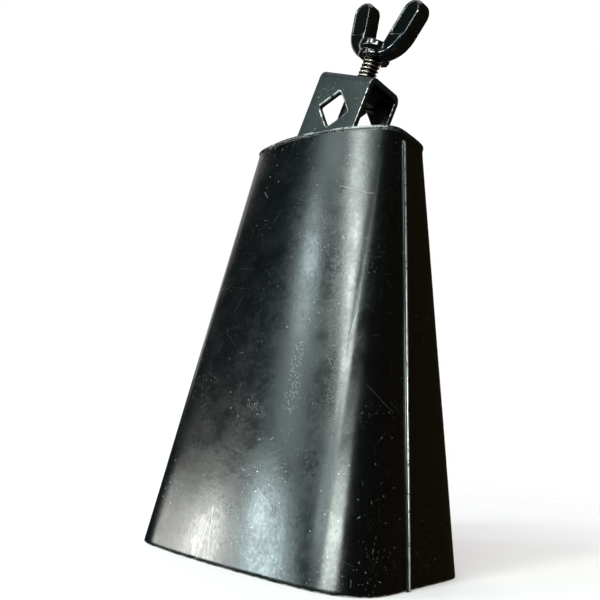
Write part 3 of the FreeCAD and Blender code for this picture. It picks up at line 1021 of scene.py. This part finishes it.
def cast_black():
    """Glossy black lacquer over a smooth casting, rubbed in spots."""
    n = Nodes("gloss black casting")
    skin = n.noise(120, detail=1, rough=0.4)
    rub = n.span(n.noise(300, detail=4, rough=0.7), 0.70, 0.78)
    colour = n.mix(skin, (0.0012, 0.0018, 0.0020, 1), (0.0035, 0.0040, 0.0042, 1))
    colour = n.mix(rub, colour, (0.04, 0.036, 0.03, 1))
    rough = n.span(skin, 0.3, 0.7, 0.09, 0.15)
    normal = n.bump(skin, 0.02 * MM, 0.25)
    return n.finish(colour, rough, normal, Coat_Weight=0.5, Coat_Roughness=0.05)


def thread_steel(name, low, high):
    """Oiled thread steel; low and high are the two colours its film noise lies between. The copy for
    the thread's roots is given near-black colours, so the roots are darker.
    """
    n = Nodes(name)
    film = n.noise(350)
    colour = n.mix(n.span(film, 0.35, 0.65), low, high)
    rough = n.span(film, 0.3, 0.7, 0.22, 0.30)
    return n.finish(colour, rough, Metallic=1.0)


def dark_steel():
    """Blackened steel of the nut and the pad."""
    n = Nodes("dark steel")
    grime = n.noise(700, detail=4)
    colour = n.mix(grime, (0.012, 0.012, 0.012, 1), (0.06, 0.055, 0.05, 1))
    rough = n.span(grime, 0.3, 0.7, 0.3, 0.5)
    normal = n.bump(grime, 0.03 * MM, 0.6)
    return n.finish(colour, rough, normal, Metallic=0.7)


SHELL = shell_paint()
BRACKET = bracket_paint("bracket paint", 0.30)
EDGE = bracket_paint("bracket edge paint", 0.58)
# Dark paint for the bracket's inner side: painted shade between the leaves.
INSIDE_SHADE_PAINT = shaded_inside_paint()
RIM = rim_paint()
BEAD = bead_paint("painted seam", 0.68, 0.76)
CREST = bead_paint("rubbed seam crest", 0.24, 0.44)
CAST = cast_black()
THREAD = thread_steel("thread steel", (0.50, 0.43, 0.37, 1), (0.66, 0.58, 0.51, 1))
# Near-black copy for the faces deep in the thread, so the roots are darker.
ROOT = thread_steel("thread root", (0.012, 0.011, 0.010, 1), (0.03, 0.028, 0.025, 1))
DARK = dark_steel()


def dress(piece, materials, node, body="bell"):
    """Give a piece its materials and the body it rides on, and hide the CAD node it stands for."""
    for material in materials:
        piece.data.materials.append(material)
    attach(piece, body)
    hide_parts(node)


dress(shell_piece("front_sheet", True), [SHELL], "front_shell")
dress(shell_piece("back_sheet", False), [SHELL], "back_shell")
dress(seam_piece("side_seam_left", -1), [BEAD, CREST], "side_seam_left")
dress(seam_piece("side_seam_right", 1), [BEAD, CREST], "side_seam_right")
dress(cap_piece(), [RIM], "top_cap")
dress(cap_weld_piece(), [RIM], "cap_weld")
dress(bracket_piece(), [], "mount_bracket")
dress(foot_weld_piece("bracket_weld_front", -1), [BRACKET], "bracket_weld_front")
dress(foot_weld_piece("bracket_weld_back", 1), [BRACKET], "bracket_weld_back")
dress(nut_piece(), [DARK], "clamp_nut")
dress(pad_piece(), [DARK], "pressure_pad", "pad")
dress(stud_piece(), [THREAD, ROOT], "screw_stud", "wing_screw")
dress(wing_piece(), [CAST], "wing_head", "wing_screw")


# ---- floor, lights and camera ----
def floor_piece():
    """Pale floor that fades out into the white surroundings."""
    around, rows = 96, 24
    points = [point for r in range(1, rows + 1)
              for point in circle(FLOOR_REACH * (r / rows) ** 1.6, 0, around)]
    faces = [(len(points), a, (a + 1) % around) for a in range(around)]
    faces += grid_faces(rows, around, close_cols=True)
    piece = mesh_from("floor", points + [(0, 0, 0)], faces)
    piece.location.z = -FLOOR_GAP
    piece.visible_glossy = False
    piece.visible_shadow = False
    n = Nodes("pale floor")
    fade = n.span(n.vector("LENGTH", n.place, output="Value"), *FLOOR_FADE)
    paper = n.add("ShaderNodeBsdfDiffuse", {"Color": (0.93, 0.91, 0.92, 1)})
    lift = n.add("ShaderNodeEmission", {"Color": (1.0, 0.98, 0.99, 1), "Strength": 0.30})
    paper = n.add("ShaderNodeAddShader", {0: paper.outputs[0], 1: lift.outputs[0]})
    clear = n.add("ShaderNodeBsdfTransparent")
    blend = n.add("ShaderNodeMixShader", {0: fade, 1: paper.outputs[0], 2: clear.outputs[0]})
    piece.data.materials.append(n.surface(blend))


def direction(azimuth, elevation):
    """Direction out from the bell; azimuth 0 is in front (-Y), 90 on the right (+X)."""
    a, e = math.radians(azimuth), math.radians(elevation)
    return Vector((math.sin(a) * math.cos(e), -math.cos(a) * math.cos(e), math.sin(e)))


def softbox(name, azimuth, elevation, width, height, glow, colour=(1, 1, 1)):
    """Rectangular area light on a wide sphere round the bell, sized in degrees as the bell sees it.

    Glow is the panel's own radiance, so a panel can change size without changing its reflection.
    """
    out = direction(azimuth, elevation)
    light = bpy.data.lights.new(name, "AREA")
    light.shape = "RECTANGLE"
    light.size, light.size_y = (2 * STUDIO_RADIUS * math.tan(math.radians(side / 2))
                                for side in (width, height))
    light.energy = glow * math.pi * light.size * light.size_y
    light.color = colour
    lamp = show(name, light)
    lamp.location = Vector((0, 0, HEIGHT / 2)) + out * STUDIO_RADIUS
    lamp.rotation_mode = "QUATERNION"
    lamp.rotation_quaternion = out.to_track_quat("Z", "Y")
    lamp.visible_camera = False


def world_light():
    """White surroundings for the camera, dim ones for the light that falls on the bell."""
    n = Nodes("studio", world=True)
    bpy.context.scene.world = n.owner
    # Cool on the front left, warm on the back right.
    warmth = n.span(n.around, -0.9, 0.9, kind="LINEAR")
    tint = n.mix(warmth, (0.60, 0.95, 1.0, 1), (1.15, 0.80, 0.30, 1))
    felt = n.add("ShaderNodeBackground", {"Color": tint, "Strength": AMBIENT})
    seen = n.add("ShaderNodeBackground", {"Color": (1, 1, 1, 1)})
    camera_ray = n.add("ShaderNodeLightPath").outputs["Is Camera Ray"]
    n.surface(n.add("ShaderNodeMixShader", {0: camera_ray, 1: felt.outputs[0], 2: seen.outputs[0]}))


def camera():
    """The photograph's own view: from the front right, low down, tilted up and rolled a little."""
    data = bpy.data.cameras.new("camera")
    data.sensor_width = 36
    data.lens = 41.54
    data.clip_start = 0.01
    eye = show("camera", data)
    eye.location = (200.4 * MM, -271.4 * MM, 60.3 * MM)
    eye.rotation_mode = "QUATERNION"
    level = (-direction(38.38, -10.10)).to_track_quat("-Z", "Y")
    roll = Matrix.Rotation(math.radians(6.04), 3, "Z").to_quaternion()
    eye.rotation_quaternion = level @ roll
    bpy.context.scene.camera = eye


floor_piece()
world_light()
camera()
COOL = (0.78, 0.97, 0.985)
PALE = (0.89, 1.0, 0.94)
PAPER = (0.98, 1.0, 0.935)
softbox("table glow far", -62, 0.5, 16, 6, 9, PAPER)
softbox("table glow", -46.5, 0.5, 11, 6, 29, PAPER)
softbox("table glow end", -31, 3.5, 8, 7, 38, COOL)
softbox("left column", -29, 27, 7, 9, 17, COOL)
softbox("left column foot", -28, 17, 9, 10, 4.5, COOL)
softbox("left column top", -25, 40, 13, 9, 4, COOL)
softbox("corner column top", -7, 44, 7, 8, 10, PALE)
softbox("corner column", -6.2, 32, 5.8, 16, 30, PALE)
softbox("corner column foot", -2, 22, 6.5, 8, 20, PALE)
softbox("corner glow", 6, 37, 14, 16, 1.3, COOL)
softbox("low middle", -7, 11, 14, 8, 8, COOL)
softbox("low right", 17, 9.5, 28, 9, 27, PALE)
softbox("overhead", 0, 88, 50, 50, 1.2)
softbox("back strip", 203, 22, 8, 50, 4)
softbox("back left fill", -113, 32, 40, 50, 0.8, (1.0, 0.96, 0.9))
bpy.context.scene.view_settings.view_transform = "Standard"
